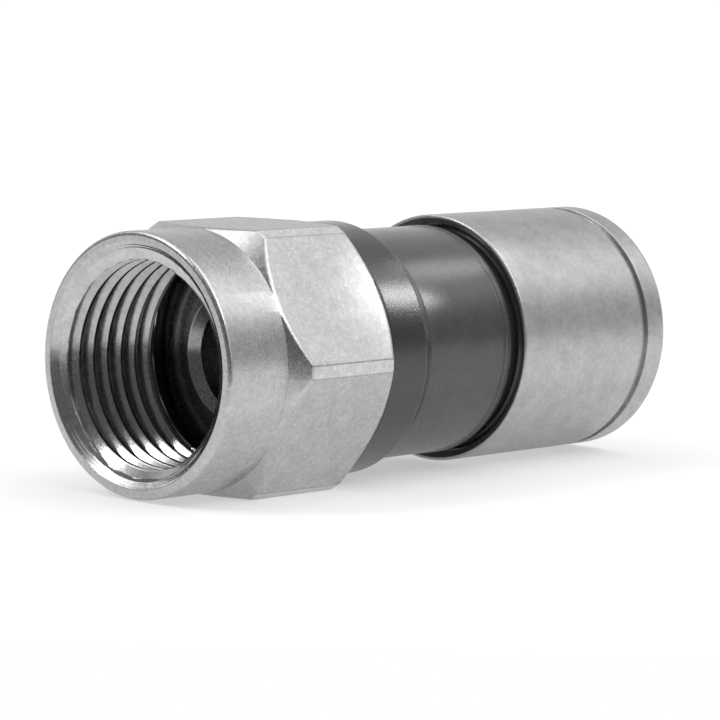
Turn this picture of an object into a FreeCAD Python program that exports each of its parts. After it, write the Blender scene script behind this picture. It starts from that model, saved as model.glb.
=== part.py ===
import FreeCAD, Part
import math
import os
import Sketcher

# Compression plug for coaxial cable, in millimetres.
# The plug's axis is X. The mouth of the nut is the plane x = 0, the cable enters at the far end,
# and the plug lies on one flat of its hexagon, with Z up.

sizes = {
    # Thread of the mating port, 3/8 inch with 32 turns to the inch
    "threadMajorRadius": 4.7625,
    "threadPitch": 0.79375,
    # Coupling nut, 7/16 inch across its flats
    "collarWall": 0.7375,
    "collarEdge": 0.18,
    "mouthFlare": 0.3175,
    "countersinkDepth": 0.62,
    "flatStep": 0.055,
    "hexFront": 3.37,
    "cornerCut": 0.77,
    "cornerFacet": 0.16,
    "reliefDepth": 0.09,
    "reliefLength": 1.3,
    "lipThickness": 1.15,
    "skirtCover": 0.25,
    # Post, with the flange that the port presses on
    "flangeFront": 5.85,
    "flangeThickness": 1.05,
    "flangeLedge": 0.75,
    "hubShoulder": 0.25,
    "pressShoulder": 0.4,
    "tubeWall": 0.37,
    "postChamfer": 0.41,
    "barbHeight": 0.25,
    "barbTipWall": 0.17,
    "barbLength": 1.4,
    "postSetback": 0.2,
    # Square-cut seal ring between nut and body
    "sealThickness": 0.6,
    "sealWidth": 0.6,
    "sealSideRoom": 0.08,
    "sealProud": 0.17,
    "noseWall": 1.05,
    "noseLip": 0.28,
    # Body
    "ringLength": 2.26,
    "ringEdge": 0.12,
    "neckDepth": 0.15,
    "neckLength": 0.3,
    "neckTaper": 0.4,
    "cableGap": 1.2,
    "barrelWall": 1.0,
    "barrelLength": 6.1,
    "recessDepth": 0.2,
    "recessTaper": 0.2,
    "recessLength": 0.5,
    "guideLength": 0.4,
    "clampTaper": 0.8,
    "clampWall": 0.5,
    "clampLength": 0.5,
    "cavityEntry": 0.25,
    "webThickness": 3.05,
    # Grip teeth inside the body
    "toothCount": 5,
    "toothPitch": 0.5,
    "toothDepth": 0.14,
    "toothSetback": 0.5,
    # Compression sleeve
    "sleeveWall": 0.4,
    "sleeveTravel": 6.3,
    "lipEdge": 0.1,
    "lipChamfer": 0.06,
    "holeRoom": 0.1,
    "holeLength": 0.65,
    "holeFlare": 0.2,
    "grooveSetback": 1.32,
    "grooveWidth": 0.45,
    "grooveDepth": 0.16,
    "rearEdge": 0.32,
    # Clearances
    "flangeClearance": 0.13,
    "spinClearance": 0.05,
    "endPlay": 0.1,
    "ringGap": 0.12,
    "slideClearance": 0.05,
    "seatClearance": 0.06,
    "sealClearance": 0.02,
}

doc = FreeCAD.newDocument("CoaxialPlug")
sheet = doc.addObject("Spreadsheet::Sheet", "Sizes")
for row, (alias, value) in enumerate(sizes.items(), start=1):
    sheet.set(f"A{row}", alias)
    sheet.set(f"B{row}", str(value))
    sheet.setAlias(f"B{row}", alias)
doc.recompute()


class Size:
    # A length with the formula that gives it, so that what is drawn with it stays bound to the sheet

    def __init__(self, value, formula):
        self.value = value
        self.formula = formula

    def __add__(self, other):
        return Size(self.value + other.value, f"{self.formula} + {other.formula}")

    def __sub__(self, other):
        return Size(self.value - other.value, f"{self.formula} - ({other.formula})")

    def __mul__(self, factor):
        return Size(self.value * factor, f"({self.formula}) * {factor:.9g}")


def size(alias):
    return Size(float(sheet.get(alias)), f"Sizes.{alias}")


ZERO = Size(0.0, "0")
THREAD_DEPTH_PER_PITCH = 5 * math.sqrt(3) / 16
CORNER_PER_FLAT = 2 / math.sqrt(3)
CUT_MARGIN = 1.0
TOOTH_ROOT = 0.1

# Radii, worked out from the thread inwards through the post and then outwards through body and sleeve
threadBore = size("threadMajorRadius") - size("threadPitch") * THREAD_DEPTH_PER_PITCH
collarRadius = size("threadMajorRadius") + size("collarWall")
flatRadius = collarRadius + size("flatStep")
cornerRadius = flatRadius * CORNER_PER_FLAT
flangeRadius = threadBore - size("flangeClearance")
hubRadius = flangeRadius - size("flangeLedge")
pressRadius = hubRadius - size("hubShoulder")
tubeRadius = pressRadius - size("pressShoulder")
postBore = tubeRadius - size("tubeWall")
sealFloor = pressRadius + size("noseWall")
sealInner = sealFloor + size("sealClearance")
sealOuter = sealInner + size("sealThickness")
noseRadius = sealOuter - size("sealProud")
cavityRadius = tubeRadius + size("cableGap")
clampRadius = cavityRadius + size("clampWall")
barrelRadius = cavityRadius + size("barrelWall")
clampBore = clampRadius + size("slideClearance")
guideBore = barrelRadius + size("slideClearance")
sleeveRadius = guideBore + size("sleeveWall")
holeRadius = cavityRadius + size("holeRoom")

# Places along the axis, from the mouth to the end of the body
flangeRear = size("flangeFront") + size("flangeThickness")
lipFront = flangeRear + size("endPlay")
lipRear = lipFront + size("lipThickness")
noseFront = lipRear + size("endPlay")
webRear = noseFront + size("webThickness")
sealFront = noseFront + size("noseLip")
sealRear = sealFront + size("sealWidth") + size("sealSideRoom")
nutRear = sealRear + size("skirtCover")
ringFront = nutRear + size("ringGap")
ringRear = ringFront + size("ringLength")
barrelRear = ringRear + size("barrelLength")
guideFront = barrelRear + size("recessLength")
guideRear = guideFront + size("recessTaper") + size("guideLength")
clampFront = guideRear + size("clampTaper")
bodyRear = clampFront + size("clampLength")


def originPart(body, role):
    return next(part for part in body.Origin.OriginFeatures if part.Role == role)


def newSketch(body, name, plane):
    sketch = body.newObject("Sketcher::SketchObject", name)
    sketch.AttachmentSupport = (originPart(body, plane), [""])
    sketch.MapMode = "FlatFace"
    return sketch


def dimension(sketch, kind, refs, name, length):
    index = sketch.addConstraint(Sketcher.Constraint(kind, *refs, length.value))
    sketch.renameConstraint(index, name)
    sketch.setExpression(f"Constraints.{name}", length.formula)


# Draws a closed outline in the plane through the axis, from corners given as (place along X, radius)
def drawProfile(body, name, corners):
    sketch = newSketch(body, name, "XZ_Plane")
    count = len(corners)
    for i, (x, r) in enumerate(corners):
        nextX, nextR = corners[(i + 1) % count]
        start = FreeCAD.Vector(x.value, r.value, 0)
        end = FreeCAD.Vector(nextX.value, nextR.value, 0)
        sketch.addGeometry(Part.LineSegment(start, end), False)
    for i, (x, r) in enumerate(corners):
        before = (i - 1) % count
        beforeX, beforeR = corners[before]
        sketch.addConstraint(Sketcher.Constraint("Coincident", before, 2, i, 1))
        if x.formula == beforeX.formula:
            sketch.addConstraint(Sketcher.Constraint("Vertical", before))
        elif x is ZERO:
            sketch.addConstraint(Sketcher.Constraint("PointOnObject", i, 1, -2))
        else:
            dimension(sketch, "DistanceX", (-1, 1, i, 1), f"x{i}", x)
        if r.formula == beforeR.formula:
            sketch.addConstraint(Sketcher.Constraint("Horizontal", before))
        else:
            dimension(sketch, "DistanceY", (-1, 1, i, 1), f"r{i}", r)
    return sketch


def turn(body, name, corners, kind="PartDesign::Revolution"):
    sketch = drawProfile(body, name + "Outline", corners)
    feature = body.newObject(kind, name)
    feature.Profile = sketch
    feature.ReferenceAxis = (originPart(body, "X_Axis"), [""])
    feature.Angle = 360
    doc.recompute()
    return feature


# Rounds or chamfers the circular edges found at the given places and radii
def finishEdges(body, name, kind, rims, amount):
    base = body.Tip
    found = []
    for x, r in rims:
        for number, edge in enumerate(base.Shape.Edges, start=1):
            curve = edge.Curve
            if not isinstance(curve, Part.Circle):
                continue
            if abs(curve.Center.x - x.value) < 1e-4 and abs(curve.Radius - r.value) < 1e-4:
                found.append(f"Edge{number}")
    feature = body.newObject(kind, name)
    feature.Base = (base, found)
    feature.setExpression("Radius" if kind == "PartDesign::Fillet" else "Size", amount.formula)
    doc.recompute()
    return feature


def newBody(label):
    body = doc.addObject("PartDesign::Body", label)
    body.Label = label
    return body


# Cuts away what lies outside a hexagon, given by the radius of its corners and the place of the first one
def cutToHexagon(body, name, radius, firstCorner):
    sketch = newSketch(body, name + "Outline", "YZ_Plane")
    sketch.addGeometry(Part.Circle(FreeCAD.Vector(), FreeCAD.Vector(0, 0, 1), radius.value), True)
    sketch.addConstraint(Sketcher.Constraint("Coincident", 0, 3, -1, 1))
    dimension(sketch, "Radius", (0,), "cornerRadius", radius)
    for i in range(6):
        start, end = (math.radians(firstCorner + 60 * (i + k)) for k in (0, 1))
        sketch.addGeometry(Part.LineSegment(
            FreeCAD.Vector(math.cos(start), math.sin(start), 0) * radius.value,
            FreeCAD.Vector(math.cos(end), math.sin(end), 0) * radius.value), False)
    for i in range(6):
        line, following = 1 + i, 1 + (i + 1) % 6
        sketch.addConstraint(Sketcher.Constraint("Coincident", line, 2, following, 1))
        sketch.addConstraint(Sketcher.Constraint("PointOnObject", line, 1, 0))
        if i:
            sketch.addConstraint(Sketcher.Constraint("Equal", 1, line))
    if firstCorner:
        sketch.addConstraint(Sketcher.Constraint("Vertical", 3))
    else:
        sketch.addConstraint(Sketcher.Constraint("Horizontal", 2))
    outside = radius + Size(CUT_MARGIN, f"{CUT_MARGIN}")
    sketch.addGeometry(Part.Circle(FreeCAD.Vector(), FreeCAD.Vector(0, 0, 1), outside.value), False)
    sketch.addConstraint(Sketcher.Constraint("Coincident", 7, 3, -1, 1))
    dimension(sketch, "Radius", (7,), "outside", outside)
    cut = body.newObject("PartDesign::Pocket", name)
    cut.Profile = sketch
    cut.Type = "Length"
    cut.Reversed = True
    cut.setExpression("Length", nutRear.formula)
    body.Tip = cut
    doc.recompute()


# Coupling nut: a turned blank, brought to a hexagon behind its round collar.
# The turned chamfers at both ends of the hexagon leave the curved ends of its flats.
def makeCouplingNut():
    body = newBody("coupling_nut")
    hubBore = hubRadius + size("spinClearance")
    skirtBore = sealOuter + size("spinClearance")
    reliefRadius = size("threadMajorRadius") + size("reliefDepth")
    reliefFront = lipFront - size("reliefLength")
    turn(body, "Blank", [
        (ZERO, size("threadMajorRadius") + size("mouthFlare")),
        (ZERO, collarRadius - size("collarEdge")),
        (size("collarEdge"), collarRadius),
        (size("hexFront"), collarRadius),
        (size("hexFront"), flatRadius),
        (size("hexFront") + size("cornerCut"), cornerRadius),
        (nutRear - size("cornerCut"), cornerRadius),
        (nutRear, flatRadius),
        (nutRear, skirtBore),
        (lipRear, skirtBore),
        (lipRear, hubBore),
        (lipFront, hubBore),
        (lipFront, reliefRadius),
        (reliefFront, reliefRadius),
        (reliefFront, threadBore),
        (size("countersinkDepth"), threadBore),
    ])
    # The narrow facets along the corners come from a second, larger hexagon, turned by half a step
    cutToHexagon(body, "Flats", cornerRadius, 0)
    cutToHexagon(body, "CornerFacets", (cornerRadius - size("cornerFacet")) * CORNER_PER_FLAT, 30)
    return body


# Post: the flange that meets the port, the hub that the nut spins on, and the barbed tube for the cable
def makePost():
    body = newBody("post")
    postRear = bodyRear - size("postSetback")
    barbFront = postRear - size("barbLength")
    turn(body, "Turning", [
        (size("flangeFront"), postBore + size("postChamfer")),
        (size("flangeFront"), flangeRadius),
        (flangeRear, flangeRadius),
        (flangeRear, hubRadius),
        (noseFront, hubRadius),
        (noseFront, pressRadius),
        (webRear, pressRadius),
        (webRear, tubeRadius),
        (barbFront, tubeRadius),
        (barbFront, tubeRadius + size("barbHeight")),
        (postRear, postBore + size("barbTipWall")),
        (postRear, postBore),
        (size("flangeFront") + size("postChamfer"), postBore),
    ])
    return body


# Body: nose with the seal groove, shoulder ring, barrel, and the clamp tube that grips the cable
def makeConnectorBody():
    body = newBody("connector_body")
    ringRadius = sleeveRadius
    neckRadius = barrelRadius - size("neckDepth")
    neckRear = ringRear + size("neckLength")
    recessRadius = barrelRadius - size("recessDepth")
    turn(body, "Moulding", [
        (noseFront, pressRadius),
        (noseFront, noseRadius),
        (sealFront, noseRadius),
        (sealFront, sealFloor),
        (sealRear, sealFloor),
        (sealRear, noseRadius),
        (ringFront, noseRadius),
        (ringFront, ringRadius),
        (ringRear, ringRadius),
        (ringRear, neckRadius),
        (neckRear, neckRadius),
        (neckRear + size("neckTaper"), barrelRadius),
        (barrelRear - size("recessTaper"), barrelRadius),
        (barrelRear, recessRadius),
        (guideFront, recessRadius),
        (guideFront + size("recessTaper"), barrelRadius),
        (guideRear, barrelRadius),
        (clampFront, clampRadius),
        (bodyRear, clampRadius),
        (bodyRear, cavityRadius + size("cavityEntry")),
        (bodyRear - size("cavityEntry"), cavityRadius),
        (webRear, cavityRadius),
        (webRear, pressRadius),
    ])
    rims = [(ringFront, ringRadius), (ringRear, ringRadius)]
    finishEdges(body, "RingEdges", "PartDesign::Chamfer", rims, size("ringEdge"))
    # Each tooth has a steep side that faces the cable's way out
    toothRear = bodyRear - size("toothSetback")
    toothFront = toothRear - size("toothPitch")
    root = Size(TOOTH_ROOT, f"{TOOTH_ROOT}")
    tooth = turn(body, "GripTooth", [
        (toothFront, cavityRadius - root),
        (toothFront, cavityRadius),
        (toothRear, cavityRadius + size("toothDepth")),
        (toothRear, cavityRadius - root),
    ], kind="PartDesign::Groove")
    teeth = body.newObject("PartDesign::LinearPattern", "GripTeeth")
    teeth.Originals = [tooth]
    teeth.Direction = (originPart(body, "X_Axis"), [""])
    teeth.Reversed = True
    teeth.setExpression("Length", "Sizes.toothPitch * (Sizes.toothCount - 1)")
    teeth.setExpression("Occurrences", "Sizes.toothCount")
    body.Tip = teeth
    return body


# Sleeve, drawn where it ends up when it is pushed home against the ring, and then set back by its travel
def makeCompressionSleeve():
    body = newBody("compression_sleeve")
    front = ringRear + size("seatClearance")
    taperFront = guideRear + size("seatClearance")
    taperRear = clampFront + size("seatClearance")
    stepFront = bodyRear + size("seatClearance")
    stepRear = stepFront + clampBore - holeRadius
    flareFront = stepRear + size("holeLength")
    rear = flareFront + size("holeFlare")
    grooveRear = rear - size("grooveSetback")
    grooveFront = grooveRear - size("grooveWidth")
    grooveFloor = sleeveRadius - size("grooveDepth")
    turn(body, "Tube", [
        (front, guideBore + size("lipChamfer")),
        (front, sleeveRadius),
        (grooveFront, sleeveRadius),
        (grooveFront, grooveFloor),
        (grooveRear, grooveFloor),
        (grooveRear, sleeveRadius),
        (rear, sleeveRadius),
        (rear, holeRadius + size("holeFlare")),
        (flareFront, holeRadius),
        (stepRear, holeRadius),
        (stepFront, clampBore),
        (taperRear, clampBore),
        (taperFront, guideBore),
        (front + size("lipChamfer"), guideBore),
    ])
    finishEdges(body, "Lip", "PartDesign::Chamfer", [(front, sleeveRadius)], size("lipEdge"))
    finishEdges(body, "RearEdge", "PartDesign::Fillet", [(rear, sleeveRadius)], size("rearEdge"))
    body.setExpression("Placement.Base.x", size("sleeveTravel").formula)
    return body


# Seal ring, drawn from the origin and set in the middle of its groove
def makeNutSeal():
    body = newBody("nut_seal")
    turn(body, "Ring", [
        (ZERO, sealInner),
        (ZERO, sealOuter),
        (size("sealWidth"), sealOuter),
        (size("sealWidth"), sealInner),
    ])
    body.setExpression("Placement.Base.x", (sealFront + size("sealSideRoom") * 0.5).formula)
    return body


pieces = [
    makeCouplingNut(),
    makePost(),
    makeConnectorBody(),
    makeCompressionSleeve(),
    makeNutSeal(),
]
doc.recompute()

for item in doc.Objects:
    if "Invalid" in item.State or "Error" in item.State:
        raise RuntimeError(f"{item.Label} did not build: {item.State}")

os.makedirs("parts", exist_ok=True)
for piece in pieces:
    if piece.Shape.isNull() or not piece.Shape.isValid():
        raise RuntimeError(f"{piece.Label} has no valid shape")
for piece in pieces:
    bounds = piece.Shape.BoundBox
    print(f"{piece.Label}: {piece.Shape.Volume:.2f} mm3, x {bounds.XMin:.3f} to {bounds.XMax:.3f}, "
          f"{len(piece.Shape.Solids)} solid, radius {bounds.YMax:.3f}")
    piece.Shape.exportStep(f"parts/{piece.Label}.step")
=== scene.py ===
import math
import bpy
from mathutils import Matrix, Vector


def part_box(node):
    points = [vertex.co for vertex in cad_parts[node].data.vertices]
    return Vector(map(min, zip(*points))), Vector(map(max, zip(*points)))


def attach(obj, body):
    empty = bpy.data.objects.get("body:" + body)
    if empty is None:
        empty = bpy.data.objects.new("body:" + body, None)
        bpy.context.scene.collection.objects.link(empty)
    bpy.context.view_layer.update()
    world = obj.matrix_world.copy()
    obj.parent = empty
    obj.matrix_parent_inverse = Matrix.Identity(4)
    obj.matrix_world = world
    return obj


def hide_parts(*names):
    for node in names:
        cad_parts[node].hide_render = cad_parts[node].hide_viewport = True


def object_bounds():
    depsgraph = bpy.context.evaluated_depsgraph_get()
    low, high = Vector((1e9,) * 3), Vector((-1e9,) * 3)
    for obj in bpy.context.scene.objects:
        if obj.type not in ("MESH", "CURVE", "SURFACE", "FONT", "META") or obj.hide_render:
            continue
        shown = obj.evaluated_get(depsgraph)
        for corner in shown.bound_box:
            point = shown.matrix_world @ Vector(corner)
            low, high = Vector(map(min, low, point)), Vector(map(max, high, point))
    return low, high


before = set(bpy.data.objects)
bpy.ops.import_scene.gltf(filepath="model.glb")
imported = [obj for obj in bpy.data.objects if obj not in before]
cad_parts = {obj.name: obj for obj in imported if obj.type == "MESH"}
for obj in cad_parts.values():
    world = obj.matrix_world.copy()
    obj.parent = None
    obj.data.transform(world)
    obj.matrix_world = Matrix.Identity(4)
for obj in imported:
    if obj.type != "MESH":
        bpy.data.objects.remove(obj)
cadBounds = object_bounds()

mm = 0.001  # the frame is in metres, the sizes below are in millimetres
print("frame loaded:", ", ".join(sorted(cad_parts)))


# A number carried along a node link, so that a formula reads as one line
class Reading:
    def __init__(self, tree, socket):
        self.tree = tree
        self.socket = socket

    def __add__(self, other):
        return mathNode(self.tree, "ADD", self, other)

    def __sub__(self, other):
        return mathNode(self.tree, "SUBTRACT", self, other)

    def __rsub__(self, other):
        return mathNode(self.tree, "SUBTRACT", other, self)

    def __mul__(self, other):
        return mathNode(self.tree, "MULTIPLY", self, other)

    def __truediv__(self, other):
        return mathNode(self.tree, "DIVIDE", self, other)


def feed(tree, socket, value):
    if isinstance(value, Reading):
        tree.links.new(value.socket, socket)
    elif value is not None:
        socket.default_value = value


def addNode(tree, kind, inputs=None, **settings):
    node = tree.nodes.new(kind)
    for name, value in settings.items():
        setattr(node, name, value)
    for name, value in (inputs or {}).items():
        feed(tree, node.inputs[name], value)
    return node


def reading(node, output=0):
    return Reading(node.id_data, node.outputs[output])


def mathNode(tree, operation, *values):
    node = addNode(tree, "ShaderNodeMath", operation=operation)
    for socket, value in zip(node.inputs, values):
        feed(tree, socket, value)
    return reading(node)


def least(a, b):
    return mathNode(a.tree, "MINIMUM", a, b)


def greatest(a, b):
    return mathNode(a.tree, "MAXIMUM", a, b)


def sine(a):
    return mathNode(a.tree, "SINE", a)


def cosine(a):
    return mathNode(a.tree, "COSINE", a)


def splitVector(tree, vector):
    node = addNode(tree, "ShaderNodeSeparateXYZ", {0: vector})
    return [reading(node, axis) for axis in range(3)]


def joinVector(tree, x, y, z):
    return reading(addNode(tree, "ShaderNodeCombineXYZ", {0: x, 1: y, 2: z}))


meshing = {
    "weld": 0.0004,        # points nearer than this become one
    "hold": 0.015,         # extra ring beside each rounded edge, which keeps the shading of the faces beside it
    "arcStep": 20.0,       # degrees of an edge's arc between two rings
    "sharpAngle": 38.0,    # degrees, above which an edge shades sharp
}


def newTree(name, inputs):  # a geometry tree and its named inputs as readings
    tree = bpy.data.node_groups.new(name, "GeometryNodeTree")
    tree.is_modifier = True
    tree.interface.new_socket("Geometry", in_out="INPUT", socket_type="NodeSocketGeometry")
    for label, kind in inputs.items():
        tree.interface.new_socket(label, in_out="INPUT", socket_type=kind)
    tree.interface.new_socket("Geometry", in_out="OUTPUT", socket_type="NodeSocketGeometry")
    entry = addNode(tree, "NodeGroupInput")
    return tree, {socket.name: Reading(tree, socket) for socket in entry.outputs if socket.name}


def closeTree(tree, geometry, material):  # every tree ends in the same way
    merged = addNode(tree, "GeometryNodeMergeByDistance", {"Geometry": geometry, "Distance": meshing["weld"] * mm})
    smooth = addNode(tree, "GeometryNodeSetShadeSmooth", {"Geometry": reading(merged)})
    solid = addNode(tree, "GeometryNodeRealizeInstances", {"Geometry": reading(smooth)})
    painted = addNode(tree, "GeometryNodeSetMaterial", {"Geometry": reading(solid), "Material": material})
    addNode(tree, "NodeGroupOutput", {"Geometry": reading(painted)})


def roundedOutline(corners, closed=True):  # corners are (x, radius, rounding), in millimetres
    points = []
    count = len(corners)
    for i, (x, radius, rounding) in enumerate(corners):
        corner = Vector((x, radius))
        atEnd = not closed and i in (0, count - 1)
        if atEnd or not rounding:
            points.append(corner)
            continue
        before = (Vector(corners[i - 1][:2]) - corner).normalized()
        after = (Vector(corners[(i + 1) % count][:2]) - corner).normalized()
        opening = before.angle(after)
        reach = rounding / math.tan(opening / 2)
        centre = corner + (before + after).normalized() * (rounding / math.sin(opening / 2))
        first, last = corner + before * reach, corner + after * reach
        steps = max(2, round((180 - math.degrees(opening)) / meshing["arcStep"]))
        start, sweep = first - centre, (first - centre).angle_signed(last - centre)
        points.append(first + before * meshing["hold"])
        for k in range(steps + 1):
            turn = Matrix.Rotation(-sweep * k / steps, 2)
            points.append(centre + turn @ start)
        points.append(last + after * meshing["hold"])
    return points


def outlineObject(name, points, closed=True):  # the outline as a chain of points, x along the axis and y the radius
    mesh = bpy.data.meshes.new(name)
    edges = [(i, i + 1) for i in range(len(points) - 1)]
    if closed:
        edges.append((len(points) - 1, 0))
    mesh.from_pydata([(p[0] * mm, p[1] * mm, 0) for p in points], edges, [])
    piece = bpy.data.objects.new(name, mesh)
    bpy.context.scene.collection.objects.link(piece)
    return piece


def runTree(piece, tree, values):  # the tree's result becomes the piece's plain mesh
    modifier = piece.modifiers.new(tree.name, "NODES")
    modifier.node_group = tree
    for socket in tree.interface.items_tree:
        if socket.in_out == "INPUT" and socket.name in values:
            modifier[socket.identifier] = values[socket.name]
    bpy.context.view_layer.update()
    seen = piece.evaluated_get(bpy.context.evaluated_depsgraph_get())
    mesh = bpy.data.meshes.new_from_object(seen)
    piece.modifiers.clear()
    piece.data = mesh
    mesh.set_sharp_from_angle(angle=math.radians(meshing["sharpAngle"]))
    return piece


def sampleRows(tree, outline, rows):  # the outline's point for each row or column of a grid
    place = addNode(tree, "GeometryNodeInputPosition")
    picked = addNode(tree, "GeometryNodeSampleIndex", {"Geometry": outline, "Value": reading(place), "Index": rows},
                     data_type="FLOAT_VECTOR", domain="POINT")
    return splitVector(tree, reading(picked))


def rowsAndTurns(tree, rows, columns):  # a flat grid, with each point's row number and share of a turn
    grid = addNode(tree, "GeometryNodeMeshGrid",
                   {"Size X": rows - 1, "Size Y": 1.0, "Vertices X": rows, "Vertices Y": columns + 1})
    across, around = splitVector(tree, reading(addNode(tree, "GeometryNodeInputPosition")))[:2]
    row = mathNode(tree, "ROUND", across + (rows - 1) * 0.5)
    return reading(grid), row, around + 0.5


def wrapRound(tree, grid, x, radius, angle):
    place = joinVector(tree, x, radius * cosine(angle), radius * sine(angle))
    return reading(addNode(tree, "GeometryNodeSetPosition", {"Geometry": grid, "Position": place}))


def turnOut(tree, geometry):  # a wrapped outline's faces point inwards until they are flipped
    return reading(addNode(tree, "GeometryNodeFlipFaces", {"Mesh": geometry}))


def buildLathe():  # turns a closed outline about the axis
    tree, given = newTree("turnedPiece", {"Columns": "NodeSocketInt", "Material": "NodeSocketMaterial"})
    size = addNode(tree, "GeometryNodeAttributeDomainSize", {"Geometry": given["Geometry"]}, component="MESH")
    points = reading(size)
    grid, row, turn = rowsAndTurns(tree, points + 1, given["Columns"])
    x, radius = sampleRows(tree, given["Geometry"], mathNode(tree, "MODULO", row, points))[:2]
    solid = wrapRound(tree, grid, x, radius, turn * math.tau)
    closeTree(tree, turnOut(tree, solid), given["Material"])
    return tree


lathe = buildLathe()


def turned(name, corners, columns, material):
    piece = outlineObject(name, roundedOutline(corners))
    return runTree(piece, lathe, {"Columns": columns, "Material": material})


def span(node):  # front, rear and outer radius of a node, in millimetres
    low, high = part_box(node)
    radius = max(math.hypot(v.co.y, v.co.z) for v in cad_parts[node].data.vertices)
    return low.x / mm, high.x / mm, radius / mm


# Finishes. Patterns are in millimetres on the piece itself
noiseRange = (0.3, 0.7)    # nearly all of a noise lies between these


def newMaterial(name):
    material = bpy.data.materials.new(name)
    material.use_nodes = True
    tree = material.node_tree
    surface = tree.nodes["Principled BSDF"]
    place = addNode(tree, "ShaderNodeTexCoord")
    scaled = addNode(tree, "ShaderNodeVectorMath", {0: reading(place, "Object"), 1: (1 / mm,) * 3},
                     operation="MULTIPLY")
    return material, tree, surface, reading(scaled)


def noise(tree, place, size, detail=2.0, stretch=(1, 1, 1)):  # size of a patch in millimetres
    if stretch != (1, 1, 1):
        place = reading(addNode(tree, "ShaderNodeMapping", {"Vector": place, "Scale": stretch}))
    node = addNode(tree, "ShaderNodeTexNoise", {"Vector": place, "Scale": 1 / size, "Detail": detail})
    return reading(node, "Fac")


def remap(value, fromLow, fromHigh, toLow, toHigh):
    node = addNode(value.tree, "ShaderNodeMapRange", {
        "Value": value, "From Min": fromLow, "From Max": fromHigh, "To Min": toLow, "To Max": toHigh})
    return reading(node)


def fromNoise(value, low, high):
    return remap(value, *noiseRange, low, high)


def blendBetween(mask, low, high):  # low where the mask is 0, high where it is 1
    return remap(mask, 0.0, 1.0, low, high)


def grey(value, tint=(1.0, 1.0, 1.0)):
    return joinVector(value.tree, value * tint[0], value * tint[1], value * tint[2])


def bumped(tree, surface, layers):  # layers are (height reading, depth in millimetres)
    normal = None
    for height, depth in layers:
        node = addNode(tree, "ShaderNodeBump", {"Height": height, "Distance": depth * mm, "Normal": normal})
        normal = reading(node)
    feed(tree, surface.inputs["Normal"], normal)


nickelLook = {
    "tint": (1.0, 0.997, 0.99),
    "light": 0.60, "dark": 0.52,                              # plate, from its clean to its dull patches
    "smooth": 0.20, "rough": 0.40,
    "cloud": 0.9, "cloudShare": 0.06, "cloudDepth": 0.010,    # wide faint blotches
    "mottle": 0.22, "grain": 0.07, "speck": 0.10,             # patch sizes
    "mottleRange": (0.35, 0.65), "mottleDepth": 0.004, "grainDepth": 0.0011,
    "speckLimit": 0.64, "speckSoftness": 0.06,                # noise above the limit is a bright speck
    "speckShare": 0.05,
    "lathePitch": 0.05, "latheDepth": 0.0008, "latheStretch": (1, 0.02, 0.02),    # turning marks run round the axis
}
halfCorner = 30.0    # degrees, half the angle between two corners of the hexagon
nutLook = dict(
    nickelLook,
    collarRadius=5.5, collarMargin=0.01, coneFront=3.32, coneMargin=0.08, coneSlope=1.116,    # where the flats begin
    cornerRadius=6.2, mouthRadius=5.06,
    flats={"smooth": 0.34, "rough": 0.54, "speckShare": 0.30, "gain": 1.04},    # drawn flats, duller than the collar
    # finer plate in the thread; its gain paints shade inside the mouth and fades in between two places along the axis
    thread={"smooth": 0.14, "rough": 0.27, "relief": 0.36, "gain": 0.84, "from": 0.3, "to": 0.9},
    facet={"angle": 2.54, "gain": 1.31, "smooth": 0.34, "rough": 0.52},         # corners painted brighter, a painted highlight
    line={"half": 0.30, "softness": 0.5, "shade": 0.70},    # painted shade: a thin dark line each side of a corner, in degrees
)
sleeveLook = dict(
    nickelLook, light=0.56, dark=0.49, smooth=0.26, rough=0.48, cloudShare=0.08, cloudDepth=0.014,
    grainDepth=0.0007, latheDepth=0.0005,
)
# painted shade: the post's plate is painted darker than the other nickel, for the shade deep in the mouth
shadePaintedPostLook = dict(
    nickelLook, light=0.36, dark=0.31, smooth=0.14, rough=0.28, cloudDepth=0.002, mottleDepth=0.001,
    grainDepth=0.0006,
)


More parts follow.
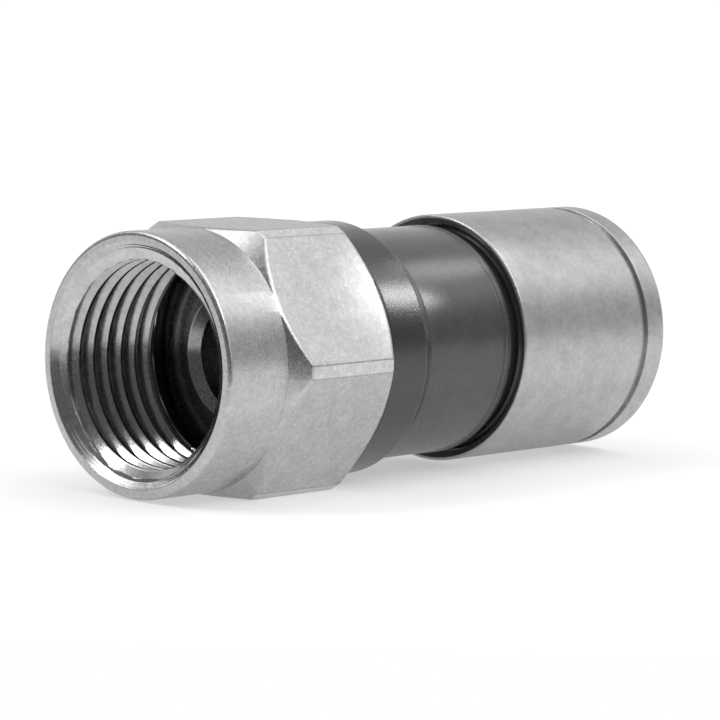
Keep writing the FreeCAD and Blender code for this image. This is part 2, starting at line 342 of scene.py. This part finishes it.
def nickel(name, look):
    material, tree, surface, place = newMaterial(name)
    cloud = noise(tree, place, look["cloud"], detail=3.0)
    mottle = noise(tree, place, look["mottle"], detail=3.0)
    grain = finishGrain = noise(tree, place, look["grain"])
    specks = noise(tree, place, look["speck"], detail=1.0)
    specks = remap(specks, look["speckLimit"], look["speckLimit"] + look["speckSoftness"], 0.0, 1.0)
    lines = noise(tree, place, look["lathePitch"], stretch=look["latheStretch"])
    shade = remap(mottle, *look["mottleRange"], look["dark"], look["light"])
    shade = shade * fromNoise(cloud, 1 - look["cloudShare"], 1 + look["cloudShare"])
    smooth, rough, speckShare = look["smooth"], look["rough"], look["speckShare"]
    if "flats" in look:
        flats, thread, facet, line = look["flats"], look["thread"], look["facet"], look["line"]
        x, y, z = splitVector(tree, place)
        radius = mathNode(tree, "SQRT", y * y + z * z)
        behindCone = x - (radius - look["collarRadius"]) / look["coneSlope"]
        outside = mathNode(tree, "GREATER_THAN", radius, look["collarRadius"] + look["collarMargin"])
        onFlats = outside * mathNode(tree, "GREATER_THAN", behindCone, look["coneFront"] + look["coneMargin"])
        inside = mathNode(tree, "LESS_THAN", radius, look["mouthRadius"])
        fromCorner = mathNode(tree, "PINGPONG", mathNode(tree, "ARCTAN2", z, y) * math.degrees(1), halfCorner)
        atCorner = mathNode(tree, "GREATER_THAN", radius, look["cornerRadius"])
        onFacet = atCorner * mathNode(tree, "LESS_THAN", fromCorner, facet["angle"])
        fromLine = mathNode(tree, "ABSOLUTE", fromCorner - facet["angle"])
        lineStart, lineEnd = line["half"] * (1 - line["softness"]), line["half"] * (1 + line["softness"])
        # painted shade: mask of the thin dark lines beside each corner
        onPaintedShadeLine = atCorner * remap(fromLine, lineStart, lineEnd, 1.0, 0.0)
        smooth, rough = (
            blendBetween(onFacet, blendBetween(onFlats, blendBetween(inside, look[key], thread[key]), flats[key]),
                         facet[key]) for key in ("smooth", "rough"))
        speckShare = blendBetween(onFlats, speckShare, flats["speckShare"])
        # painted highlight on the corner facets, and painted shade on the thin lines beside them
        shade = shade * blendBetween(onFacet, 1.0, facet["gain"]) * blendBetween(onPaintedShadeLine, 1.0, line["shade"])
        shade = shade * blendBetween(onFlats, 1.0, flats["gain"])
        # painted shade inside the mouth, growing deeper along the axis
        shade = shade * blendBetween(inside * remap(x, thread["from"], thread["to"], 0.0, 1.0), 1.0, thread["gain"])
        cloud, mottle, lines, grain = (
            height * blendBetween(inside, 1.0, thread["relief"]) for height in (cloud, mottle, lines, grain))
    shade = shade * (specks * speckShare + 1.0)
    feed(tree, surface.inputs["Base Color"], grey(shade, look["tint"]))
    surface.inputs["Metallic"].default_value = 1.0
    feed(tree, surface.inputs["Roughness"], fromNoise(finishGrain, smooth, rough))
    bumped(tree, surface, [(cloud, look["cloudDepth"]), (mottle, look["mottleDepth"]), (lines, look["latheDepth"]),
                           (grain, look["grainDepth"])])
    return material


plasticLook = {
    "tint": (1.0, 1.0, 1.01),
    "ringRear": 11.9,                       # forward of this is the shoulder ring
    "ring": {"colour": 0.005, "smooth": 0.18, "rough": 0.34, "grainDepth": 0.0110},
    "barrel": {"colour": 0.038, "smooth": 0.24, "rough": 0.38, "grainDepth": 0.0035},
    "patch": 0.8, "patchShare": 0.25,       # size of the cloudy patches and how much they darken
    "grain": 0.09, "specular": 0.5,
    "coat": 0.80, "coatRoughness": 0.24,    # satin skin
}


def plastic(name, look):
    material, tree, surface, place = newMaterial(name)
    ring, barrel = look["ring"], look["barrel"]
    mask = mathNode(tree, "GREATER_THAN", splitVector(tree, place)[0], look["ringRear"])
    patches = noise(tree, place, look["patch"], detail=3.0)
    grain = noise(tree, place, look["grain"])
    shade = blendBetween(mask, ring["colour"], barrel["colour"])
    shade = shade * fromNoise(patches, 1 - look["patchShare"], 1 + look["patchShare"])
    feed(tree, surface.inputs["Base Color"], grey(shade, look["tint"]))
    smooth = blendBetween(mask, ring["smooth"], barrel["smooth"])
    rough = blendBetween(mask, ring["rough"], barrel["rough"])
    feed(tree, surface.inputs["Roughness"], fromNoise(grain, smooth, rough))
    surface.inputs["Specular IOR Level"].default_value = look["specular"]
    surface.inputs["Coat Weight"].default_value = look["coat"]
    surface.inputs["Coat Roughness"].default_value = look["coatRoughness"]
    deeper = ring["grainDepth"] / barrel["grainDepth"]
    bumped(tree, surface, [(grain * blendBetween(mask, deeper, 1.0), barrel["grainDepth"])])
    return material


rubberLook = {"colour": 0.02, "colourShare": 0.3, "smooth": 0.60, "rough": 0.75, "grain": 0.12, "grainDepth": 0.003}


def rubber(name, look):
    material, tree, surface, place = newMaterial(name)
    grain = noise(tree, place, look["grain"], detail=3.0)
    dark, light = look["colour"] * (1 - look["colourShare"]), look["colour"] * (1 + look["colourShare"])
    feed(tree, surface.inputs["Base Color"], grey(fromNoise(grain, dark, light)))
    feed(tree, surface.inputs["Roughness"], fromNoise(grain, look["smooth"], look["rough"]))
    bumped(tree, surface, [(grain, look["grainDepth"])])
    return material


nutNickel = nickel("nutNickel", nutLook)
shadePaintedPostNickel = nickel("shadePaintedPostNickel", shadePaintedPostLook)
sleeveNickel = nickel("sleeveNickel", sleeveLook)
bodyPlastic = plastic("bodyPlastic", plasticLook)
sealRubber = rubber("sealRubber", rubberLook)
print("finishes made")


# Coupling nut: a turned blank whose crown is cut to a hexagon, and the thread in its mouth
nut = {
    "pitch": 0.79375, "major": 4.7625, "minor": 4.3329,
    "rootFlat": 0.10, "crestFlat": 0.20,    # shares of the pitch
    "threadEase": 0.10,                     # softness of crest and root, as a share of the depth
    "ringsPerTurn": 32, "turnNudge": 0.00001,    # the nudge keeps whole turns from being rounded down
    "mouth": 5.08, "mouthRounding": 0.04, "countersinkDepth": 0.62,
    "threadFront": 0.25, "threadRear": 5.7, "leadSlope": 2.4, "runoutSlope": 1.5,    # slopes of its start and end
    "collarWall": 0.7375, "collarEdge": 0.18,
    "hexFront": 3.37, "cornerCut": 0.77, "cornerFacet": 0.16, "facetEdge": 0.12, "crownBevel": 0.12,
    "toolRings": (0.18, 0.09), "toolRingHeight": 0.018, "toolRingHalf": 0.030,    # fine rings left in the countersink
    "reliefDepth": 0.09, "lipFront": 7.0, "lipRear": 8.15, "hubBore": 3.5029, "skirtBore": 4.9229,
    "smallEdge": 0.05, "flatColumns": 18, "facetColumns": 2,
}


def nutSizes():
    front, rear = span("coupling_nut")[:2]
    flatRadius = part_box("coupling_nut")[1].z / mm
    cornerRadius = flatRadius / math.cos(math.radians(halfCorner))
    collarRadius = nut["major"] + nut["collarWall"]
    slope = (cornerRadius - flatRadius) / nut["cornerCut"]
    return {
        "front": front, "rear": rear, "flat": flatRadius, "corner": cornerRadius, "collar": collarRadius,
        "slope": slope, "coneFront": nut["hexFront"] - (flatRadius - collarRadius) / slope,
        "fall": (nut["mouth"] - nut["minor"]) / nut["countersinkDepth"],
        "relief": nut["major"] + nut["reliefDepth"],
    }


def nutOutline(sizes):  # open, from the thread's front round the outside to its rear; marks show the crown's rings
    front, rear, cornerRadius = sizes["front"], sizes["rear"], sizes["corner"]
    small = nut["smallEdge"]
    toolRings = []
    for middle in nut["toolRings"]:
        for offset, height in ((1, 0), (0, nut["toolRingHeight"]), (-1, 0)):
            x = middle + offset * nut["toolRingHalf"]
            toolRings.append((x, nut["mouth"] - sizes["fall"] * x - height, 0))
    before = roundedOutline([
        (nut["threadFront"], nut["mouth"] - sizes["fall"] * nut["threadFront"], 0),
        *toolRings,
        (front, nut["mouth"], nut["mouthRounding"]),
        (front, sizes["collar"], nut["collarEdge"]),
        (sizes["coneFront"], sizes["collar"], 0),
        (nut["hexFront"] + nut["cornerCut"], cornerRadius, 0),
    ], closed=False)[:-1]
    crown = []
    lean = Vector((1, sizes["slope"])).normalized()
    for side, x in ((1, nut["hexFront"] + nut["cornerCut"]), (-1, rear - nut["cornerCut"])):
        edge = Vector((x, cornerRadius))
        upCone = Vector((side * lean.x, lean.y))
        alongFlat = Vector((side, 0))
        onCone = edge - upCone * nut["crownBevel"]
        onFlat = edge + alongFlat * nut["crownBevel"]
        middle = edge * 0.5 + (onCone + onFlat) * 0.25    # halfway between the edge and the bevel's chord
        rings = [onCone - upCone * meshing["hold"], onCone, middle, onFlat, onFlat + alongFlat * meshing["hold"]]
        crown.append(rings[::side])
    after = roundedOutline([
        (rear - nut["cornerCut"], cornerRadius, 0),
        (rear, sizes["flat"], small),
        (rear, nut["skirtBore"], small),
        (nut["lipRear"], nut["skirtBore"], small),
        (nut["lipRear"], nut["hubBore"], small),
        (nut["lipFront"], nut["hubBore"], small),
        (nut["lipFront"], sizes["relief"], small),
        (nut["threadRear"], sizes["relief"], 0),
    ], closed=False)[1:]
    points = before + crown[0] + crown[1] + after
    marks = [0] * len(before) + [1] * len(crown[0]) + [-1] * len(crown[1]) + [0] * len(after)
    return points, marks


def nutSection(sizes):  # the hexagon with its narrow corner facets, as an (angle, radius) for each column
    facetPlane = sizes["corner"] - nut["cornerFacet"]
    half = math.atan2(sizes["flat"] - facetPlane * math.cos(math.radians(halfCorner)),
                      facetPlane * math.sin(math.radians(halfCorner)))
    radius = facetPlane / math.cos(half)
    corners = []
    for i in range(6):
        for side in (-1, 1):
            angle = math.radians(2 * halfCorner * i) + side * half
            corners.append((radius * math.cos(angle), radius * math.sin(angle), nut["facetEdge"]))
    rounded = roundedOutline(corners)
    columns = []
    for i, point in enumerate(rounded):
        following = rounded[(i + 1) % len(rounded)]
        gap = (following - point).length
        parts = nut["flatColumns"] if gap > sizes["flat"] / 2 else nut["facetColumns"] if gap > half * radius else 1
        for k in range(parts):
            at = point.lerp(following, k / parts)
            columns.append((math.atan2(at.y, at.x) % math.tau, at.length))
    columns.sort()
    return columns + [(columns[0][0] + math.tau, columns[0][1])]


def buildNutTree(sizes):
    inputs = ["Pitch", "Major Radius", "Minor Radius", "Thread Front", "Thread Rear", "Corner Radius"]
    kinds = {label: "NodeSocketFloat" for label in inputs}
    kinds.update({"Section": "NodeSocketObject", "Columns": "NodeSocketInt", "Rings Per Turn": "NodeSocketInt",
                  "Material": "NodeSocketMaterial"})
    tree, given = newTree("threadedHexagonNut", kinds)
    section = reading(addNode(tree, "GeometryNodeObjectInfo", {"Object": given["Section"]}), "Geometry")

    def columnPlace(turn):  # angle and outer radius of a column
        angle, outline = sampleRows(tree, section, mathNode(tree, "ROUND", turn * given["Columns"]))[:2]
        return angle / mm, outline

    # Turned blank, with its crown rings lowered to the flats
    size = addNode(tree, "GeometryNodeAttributeDomainSize", {"Geometry": given["Geometry"]}, component="MESH")
    grid, row, turn = rowsAndTurns(tree, reading(size), given["Columns"])
    x, blank, mark = sampleRows(tree, given["Geometry"], row)
    mark = mark / mm
    angle, outline = columnPlace(turn)
    drop = given["Corner Radius"] - outline
    slid = x - mark * drop / sizes["slope"]
    slid = greatest(slid, least(x, sizes["coneFront"] * mm))
    slid = least(slid, greatest(x, (sizes["rear"] - nut["smallEdge"]) * mm))
    lowered = greatest(blank - mathNode(tree, "ABSOLUTE", mark) * drop, least(blank, sizes["collar"] * mm))
    shell = wrapRound(tree, grid, slid, least(lowered, outline), angle)

    # Thread: rings that climb one pitch in each turn, cut off at both ends
    pitch = given["Pitch"]
    length = given["Thread Rear"] - given["Thread Front"]
    rings = mathNode(tree, "CEIL", length / pitch + 1) * given["Rings Per Turn"] + 1
    sheet, ring, turn = rowsAndTurns(tree, rings, given["Columns"])
    angle = columnPlace(turn)[0]
    climbed = ring / given["Rings Per Turn"]
    along = given["Thread Front"] + (climbed - 1 + angle / math.tau) * pitch
    along = least(greatest(along, given["Thread Front"]), given["Thread Rear"])
    fromRoot = mathNode(tree, "ABSOLUTE", mathNode(tree, "FRACT", climbed + nut["turnNudge"]) - 0.5) * 2
    crestEdge, rootEdge = 1 - nut["crestFlat"], nut["rootFlat"]
    cut = (crestEdge - fromRoot) / (crestEdge - rootEdge)
    cut = mathNode(tree, "SMOOTH_MIN", cut, 1.0, nut["threadEase"])
    cut = mathNode(tree, "SMOOTH_MAX", cut, 0.0, nut["threadEase"])
    thread = given["Minor Radius"] + (given["Major Radius"] - given["Minor Radius"]) * cut
    lead = nut["mouth"] - nut["threadFront"] * sizes["fall"]
    countersink = lead * mm - (along - given["Thread Front"]) * nut["leadSlope"]
    runout = sizes["relief"] * mm - (given["Thread Rear"] - along) * nut["runoutSlope"]
    bore = greatest(greatest(thread, countersink), runout)
    threaded = wrapRound(tree, sheet, along, bore, angle)
    joined = addNode(tree, "GeometryNodeJoinGeometry")
    for part in (turnOut(tree, shell), threaded):
        tree.links.new(part.socket, joined.inputs[0])
    closeTree(tree, reading(joined), given["Material"])
    return tree


def makeNut():
    sizes = nutSizes()
    points, marks = nutOutline(sizes)
    columns = nutSection(sizes)
    piece = outlineObject("threadedNut", points, closed=False)
    for vertex, mark in zip(piece.data.vertices, marks):
        vertex.co.z = mark * mm
    section = outlineObject("nutSection", columns, closed=False)
    runTree(piece, buildNutTree(sizes), {
        "Pitch": nut["pitch"] * mm, "Major Radius": nut["major"] * mm, "Minor Radius": nut["minor"] * mm,
        "Thread Front": nut["threadFront"] * mm, "Thread Rear": nut["threadRear"] * mm,
        "Corner Radius": sizes["corner"] * mm, "Section": section, "Columns": len(columns) - 1,
        "Rings Per Turn": nut["ringsPerTurn"], "Material": nutNickel})
    bpy.data.objects.remove(section)
    return piece


threadedNut = makeNut()
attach(threadedNut, "nut")
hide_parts("coupling_nut")
print("nut made:", len(threadedNut.data.polygons), "faces")


# Post: flange behind the thread, hub, pressed shank and barbed tube
post = {
    "flangeThickness": 1.05, "hub": 3.4529, "press": 3.2029, "tube": 2.8029, "bore": 2.4329,
    "noseFront": 8.25, "webRear": 11.3, "barbLength": 1.4, "barbHeight": 0.25, "tipWall": 0.17,
    "boreChamfer": 0.41, "edge": 0.05, "flangeEdge": 0.10, "tipEdge": 0.04, "columns": 144,
}


def makePost():
    front, rear, flangeRadius = span("post")
    edge = post["edge"]
    barbFront = rear - post["barbLength"]
    flangeRear = front + post["flangeThickness"]
    return turned("borePost", [
        (front + post["boreChamfer"], post["bore"], edge),
        (front, post["bore"] + post["boreChamfer"], edge),
        (front, flangeRadius, post["flangeEdge"]),
        (flangeRear, flangeRadius, edge),
        (flangeRear, post["hub"], 0),
        (post["noseFront"], post["hub"], edge),
        (post["noseFront"], post["press"], 0),
        (post["webRear"], post["press"], 0),
        (post["webRear"], post["tube"], 0),
        (barbFront, post["tube"], 0),
        (barbFront, post["tube"] + post["barbHeight"], edge),
        (rear, post["bore"] + post["tipWall"], post["tipEdge"]),
        (rear, post["bore"], post["tipEdge"]),
    ], post["columns"], shadePaintedPostNickel)


borePost = makePost()
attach(borePost, "plug")
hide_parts("post")
print("post made:", len(borePost.data.polygons), "faces")


# Body: nose with the seal groove, shoulder ring, barrel, recess, guide ridge and toothed clamp
body = {
    "press": 3.2029, "nose": 4.7029, "noseLip": 0.28, "sealGroove": 0.68, "sealFloor": 4.2529, "sealEdge": 0.03,
    "ringFront": 9.58, "ringLength": 2.26, "ringEdge": 0.12,
    "neck": 4.853, "neckLength": 0.3, "neckTaper": 0.4, "neckSoftness": 0.25, "barrel": 5.0029, "barrelLength": 6.1,
    "recess": 4.803, "recessLength": 0.5, "recessTaper": 0.2, "guideLength": 0.4,
    "clamp": 4.5029, "clampTaper": 0.8, "cavity": 4.0029, "cavityEntry": 0.25, "web": 3.05,
    "teeth": 5, "toothPitch": 0.5, "toothDepth": 0.14, "toothSetback": 0.5,
    "ridges": (17.30, 17.58), "ridgeHeight": 0.022, "ridgeHalf": 0.06, "ridgeEdge": 0.015,    # before the sleeve
    "edge": 0.06, "columns": 176,
}


def makeBody():
    front, rear, ringRadius = span("connector_body")
    edge = body["edge"]
    grooveFront = front + body["noseLip"]
    grooveRear = grooveFront + body["sealGroove"]
    ringRear = body["ringFront"] + body["ringLength"]
    neckRear = ringRear + body["neckLength"]
    barrelRear = ringRear + body["barrelLength"]
    guideFront = barrelRear + body["recessLength"]
    guideTop = guideFront + body["recessTaper"]
    guideRear = guideTop + body["guideLength"]
    corners = [
        (front, body["press"], 0),
        (front, body["nose"], edge),
        (grooveFront, body["nose"], body["sealEdge"]),
        (grooveFront, body["sealFloor"], 0),
        (grooveRear, body["sealFloor"], 0),
        (grooveRear, body["nose"], body["sealEdge"]),
        (body["ringFront"], body["nose"], edge),
        (body["ringFront"], ringRadius, body["ringEdge"]),
        (ringRear, ringRadius, body["ringEdge"]),
        (ringRear, body["neck"], edge),
        (neckRear, body["neck"], body["neckSoftness"]),
        (neckRear + body["neckTaper"], body["barrel"], body["neckSoftness"]),
    ]
    for middle in body["ridges"]:
        for offset, height in ((-1, 0), (0, body["ridgeHeight"]), (1, 0)):
            corners.append((middle + offset * body["ridgeHalf"], body["barrel"] + height, body["ridgeEdge"]))
    corners += [
        (barrelRear - body["recessTaper"], body["barrel"], edge),
        (barrelRear, body["recess"], edge),
        (guideFront, body["recess"], edge),
        (guideTop, body["barrel"], edge),
        (guideRear, body["barrel"], edge),
        (guideRear + body["clampTaper"], body["clamp"], edge),
        (rear, body["clamp"], edge),
        (rear, body["cavity"] + body["cavityEntry"], edge),
        (rear - body["cavityEntry"], body["cavity"], 0),
    ]
    for i in range(body["teeth"]):
        toothRear = rear - body["toothSetback"] - i * body["toothPitch"]
        toothFront = toothRear - body["toothPitch"]
        corners.append((toothRear, body["cavity"], 0))
        corners.append((toothRear, body["cavity"] + body["toothDepth"], 0))
    corners += [(toothFront, body["cavity"], 0), (front + body["web"], body["cavity"], 0),
                (front + body["web"], body["press"], 0)]
    return turned("grippingBody", corners, body["columns"], bodyPlastic)


grippingBody = makeBody()
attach(grippingBody, "plug")
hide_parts("connector_body")
print("body made:", len(grippingBody.data.polygons), "faces")


# Compression sleeve: lip, guide bore, inner taper, clamp bore, cable hole, outer groove
sleeve = {
    "guide": 5.0529, "lipChamfer": 0.26, "lipEdge": 0.1, "chamferEdge": 0.04,
    "taperFront": 7.20, "taperRear": 8.00, "clampBore": 4.5529, "stepFront": 8.50,
    "hole": 4.1029, "holeFlare": 0.2,
    "grooveSetback": 1.32, "grooveWidth": 0.45, "grooveDepth": 0.16, "grooveEdge": 0.04,
    "rearEdge": 0.32, "edge": 0.05, "columns": 176,
}


def makeSleeve():
    front, rear, radius = span("compression_sleeve")
    edge = sleeve["edge"]
    stepFront = front + sleeve["stepFront"]
    stepRear = stepFront + sleeve["clampBore"] - sleeve["hole"]
    grooveRear = rear - sleeve["grooveSetback"]
    grooveFront = grooveRear - sleeve["grooveWidth"]
    floor = radius - sleeve["grooveDepth"]
    return turned("slidingSleeve", [
        (front, sleeve["guide"] + sleeve["lipChamfer"], sleeve["chamferEdge"]),
        (front, radius, sleeve["lipEdge"]),
        (grooveFront, radius, sleeve["grooveEdge"]),
        (grooveFront, floor, 0),
        (grooveRear, floor, 0),
        (grooveRear, radius, sleeve["grooveEdge"]),
        (rear, radius, sleeve["rearEdge"]),
        (rear, sleeve["hole"] + sleeve["holeFlare"], edge),
        (rear - sleeve["holeFlare"], sleeve["hole"], edge),
        (stepRear, sleeve["hole"], edge),
        (stepFront, sleeve["clampBore"], edge),
        (front + sleeve["taperRear"], sleeve["clampBore"], edge),
        (front + sleeve["taperFront"], sleeve["guide"], edge),
        (front + sleeve["lipChamfer"], sleeve["guide"], sleeve["chamferEdge"]),
    ], sleeve["columns"], sleeveNickel)


slidingSleeve = makeSleeve()
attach(slidingSleeve, "sleeve")
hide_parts("compression_sleeve")
print("sleeve made:", len(slidingSleeve.data.polygons), "faces")

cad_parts["nut_seal"].data.materials.clear()
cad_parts["nut_seal"].data.materials.append(sealRubber)


# Table under the plug, with the plug's shadow kept on it
table = {
    "reach": 3.0, "nearEdge": 0.031,                        # metres: the sheet ends a little before the mouth
    "heading": -46.7,                                       # degrees, towards the camera
    "colour": 0.62, "roughness": 0.9,
    "lift": 0.45, "mirroredLift": 0.33,                     # glow seen by the camera, and in mirrored light
}


def makeTable():
    heading = math.radians(table["heading"])
    towards = Vector((math.sin(heading), -math.cos(heading), 0))
    aside = Vector((math.cos(heading), math.sin(heading), 0)) * table["reach"]
    near, far = towards * table["nearEdge"], towards * -table["reach"]
    corners = [near - aside, near + aside, far + aside, far - aside]
    mesh = bpy.data.meshes.new("table")
    mesh.from_pydata([(corner.x, corner.y, cadBounds[0][2]) for corner in corners], [], [(0, 1, 2, 3)])
    floor = bpy.data.objects.new("table", mesh)
    bpy.context.scene.collection.objects.link(floor)
    material = bpy.data.materials.new("whiteTable")
    material.use_nodes = True
    tree = material.node_tree
    surface = tree.nodes["Principled BSDF"]
    surface.inputs["Base Color"].default_value = (table["colour"],) * 3 + (1,)
    surface.inputs["Roughness"].default_value = table["roughness"]
    surface.inputs["Specular IOR Level"].default_value = 0.0
    surface.inputs["Emission Color"].default_value = (1, 1, 1, 1)
    path = addNode(tree, "ShaderNodeLightPath")
    mirrored = greatest(reading(path, "Is Glossy Ray"), reading(path, "Is Transmission Ray"))
    feed(tree, surface.inputs["Emission Strength"],
         reading(path, "Is Camera Ray") * table["lift"] + mirrored * table["mirroredLift"])
    mesh.materials.append(material)


makeTable()


# Soft studio: long pale bands beside the plug, broad glows, and small lamps for the glints
studio = {
    "bands": [                             # degrees round the plug's axis from the camera's side, and the level there
        (0, 0.42), (12, 0.36), (24, 0.42), (36, 0.58), (48, 0.88), (60, 1.00), (74, 1.02), (86, 0.70), (96, 0.57),
        (112, 0.56), (135, 0.60), (155, 0.74), (180, 0.92),
    ],
    "glows": [                             # direction, core and edge in degrees, level added
        ((0.58, -0.50, 0.64), 4, 18, 0.5),
        ((0.35, -0.20, 0.92), 8, 22, 1.4),
        ((0.02, -0.71, 0.70), 7, 18, 3.0),
        ((-0.95, -0.12, 0.28), 30, 44, -1.3),
        ((-0.55, -0.78, 0.28), 28, 44, -1.3),
        ((-0.74, 0.64, 0.16), 22, 36, -1.3),
        ((-0.30, 0.42, 0.86), 10, 26, 1.5),
        ((0.0, -0.95, 0.28), 5, 12, 1.8),
    ],
    "darkest": 0.14,
    "rampTop": 2,                          # the level that the colour ramp holds as white
    "lamps": {                             # aimed at in millimetres, distance and size in metres, spread in degrees
        "keyLamp": {                       # glint on the shoulder ring
            "aim": (11.05, -4.75, 2.65), "direction": (0.740, -0.43, 0.52), "distance": 0.009,
            "width": 0.0030, "height": 0.0052, "watts": 0.0000060, "spread": 20,
        },
        "barrelLamp": {                    # pale band along the barrel
            "aim": (14.5, -3.54, 3.54), "direction": (0.751, -0.103, 0.652), "distance": 0.012,
            "width": 0.0050, "height": 0.0050, "watts": 0.0000023, "spread": 22,
        },
        "rimLamp": {                       # from the left and behind, for the edges and a cast shadow
            "aim": (14, 0, 0), "direction": (-0.68, 0.37, 0.64), "distance": 0.4,
            "width": 0.060, "height": 0.060, "watts": 0.24, "spread": 180,
        },
    },
}


def makeWorld():
    world = bpy.data.worlds.new("studio")
    bpy.context.scene.world = world
    world.use_nodes = True
    tree = world.node_tree
    tree.nodes.clear()
    heading = reading(addNode(tree, "ShaderNodeTexCoord"), "Generated")
    x, y, z = splitVector(tree, heading)
    aroundAxis = mathNode(tree, "ARCTAN2", z, y * -1.0) / math.pi
    ramp = addNode(tree, "ShaderNodeValToRGB", {"Fac": aroundAxis})
    steps = ramp.color_ramp.elements
    for i, (degrees, level) in enumerate(studio["bands"]):
        step = steps[i] if i < len(steps) else steps.new(degrees / 180)
        step.position = degrees / 180
        step.color = (level / studio["rampTop"],) * 3 + (1,)
    level = splitVector(tree, reading(ramp))[0] * studio["rampTop"]
    for direction, core, edge, gain in studio["glows"]:
        toward = addNode(tree, "ShaderNodeVectorMath", {0: heading, 1: Vector(direction).normalized()},
                         operation="DOT_PRODUCT")
        fade = addNode(tree, "ShaderNodeMapRange", {
            "Value": reading(toward, "Value"), "From Min": math.cos(math.radians(edge)),
            "From Max": math.cos(math.radians(core))}, interpolation_type="SMOOTHSTEP")
        level = level + reading(fade) * gain
    path = addNode(tree, "ShaderNodeLightPath")
    shown = addNode(tree, "ShaderNodeBackground", {"Color": (1, 1, 1, 1), "Strength": 1.0})
    level = greatest(level, studio["darkest"])
    lit = addNode(tree, "ShaderNodeBackground", {"Color": (1, 1, 1, 1), "Strength": level})
    mixed = addNode(tree, "ShaderNodeMixShader", {
        "Fac": reading(path, "Is Camera Ray"), 1: reading(lit), 2: reading(shown)})
    addNode(tree, "ShaderNodeOutputWorld", {"Surface": reading(mixed)})


def addLamp(name, aim, direction, distance, width, height, watts, spread):
    lamp = bpy.data.lights.new(name, "AREA")
    lamp.shape = "ELLIPSE"
    lamp.size = width
    lamp.size_y = height
    lamp.energy = watts
    lamp.spread = math.radians(spread)
    holder = bpy.data.objects.new(name, lamp)
    toward = Vector(direction).normalized()
    holder.location = Vector(aim) * mm + toward * distance
    holder.visible_camera = False
    holder.rotation_euler = toward.to_track_quat("Z", "Y").to_euler()
    bpy.context.scene.collection.objects.link(holder)


makeWorld()
for lampName, lampSettings in studio["lamps"].items():
    addLamp(lampName, **lampSettings)
print("table and lights made")


# Camera at the photograph's place: low, in front of the mouth and to its right
view = {
    "target": (11, 0, 0), "azimuth": -46.72, "elevation": 6.265, "roll": 1.20, "distance": 156.3,
    "focalPixels": 3649.1, "framePixels": 720, "targetPixel": (320.14, 348.28), "sensor": 36.0,
    "nearest": 0.01, "farthest": 20,    # metres that the camera sees
}


def makeCamera():
    data = bpy.data.cameras.new("camera")
    data.sensor_width = view["sensor"]
    data.lens = view["focalPixels"] / view["framePixels"] * view["sensor"]
    half = view["framePixels"] / 2
    data.shift_x = (half - view["targetPixel"][0]) / view["framePixels"]
    data.shift_y = (view["targetPixel"][1] - half) / view["framePixels"]
    data.clip_start = view["nearest"]
    data.clip_end = view["farthest"]
    azimuth, elevation, roll = (math.radians(view[key]) for key in ("azimuth", "elevation", "roll"))
    back = Vector((math.sin(azimuth) * math.cos(elevation), -math.cos(azimuth) * math.cos(elevation),
                   math.sin(elevation)))
    level = Vector((math.cos(azimuth), math.sin(azimuth), 0))
    up = back.cross(level)
    right = level * math.cos(roll) + up * math.sin(roll)
    up = back.cross(right)
    camera = bpy.data.objects.new("camera", data)
    place = Matrix((right, up, back)).transposed().to_4x4()
    place.translation = (Vector(view["target"]) + back * view["distance"]) * mm
    camera.matrix_world = place
    bpy.context.scene.collection.objects.link(camera)
    bpy.context.scene.camera = camera


makeCamera()
bpy.context.scene.view_settings.view_transform = "Standard"
bpy.context.view_layer.update()
print("camera placed")
